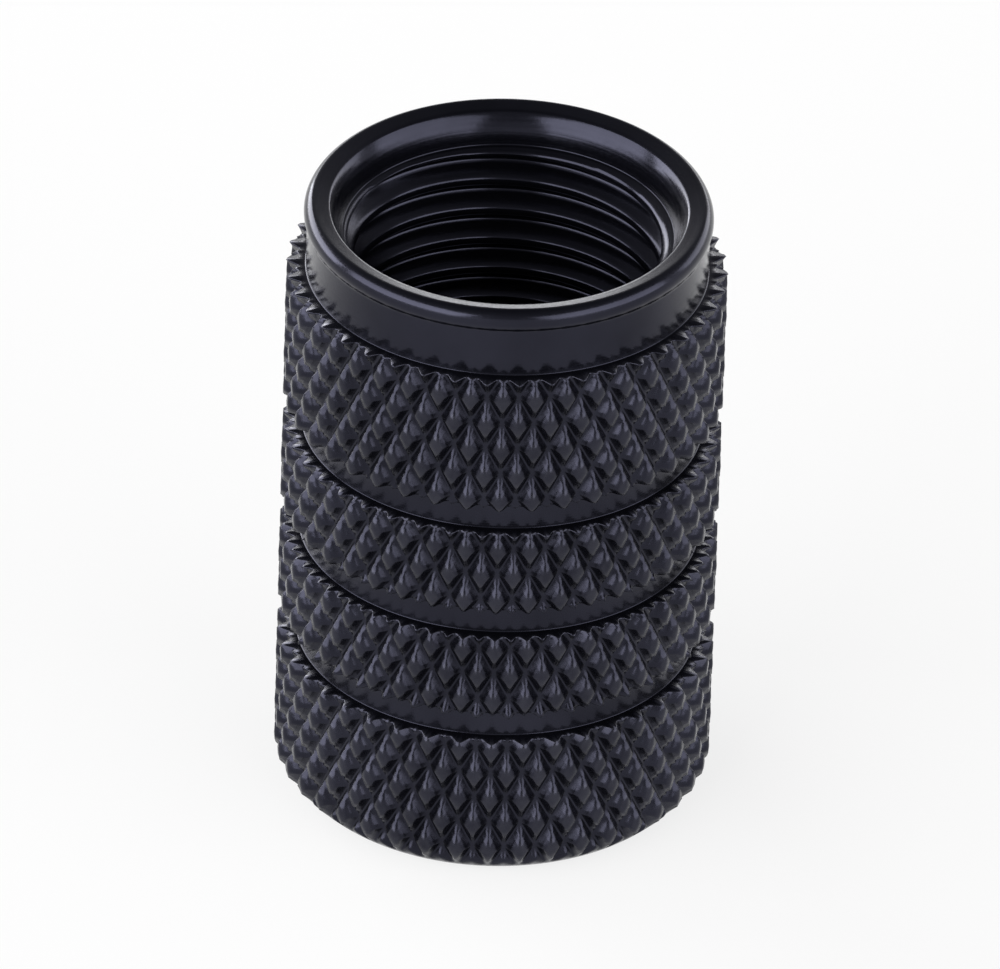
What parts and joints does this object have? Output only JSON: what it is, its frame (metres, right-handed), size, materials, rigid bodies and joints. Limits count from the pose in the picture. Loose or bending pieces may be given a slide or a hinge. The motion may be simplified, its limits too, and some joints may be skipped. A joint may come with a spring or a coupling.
{
  "type": "tyre valve cap",
  "caption": "Knurled aluminium screw cap that closes and protects a tyre's inflation valve.",
  "frame": {"origin": "centre of the closed face, which the cap stands on", "axes": "+Z along the cap's axis, out of the threaded mouth"},
  "size_m": [0.01, 0.01, 0.015],
  "materials": {
    "anodised": "black anodised, satin, with a faint blue-violet tint"
  },
  "bodies": {
    "root": {"cap": "anodised"}
  },
  "joints": []
}
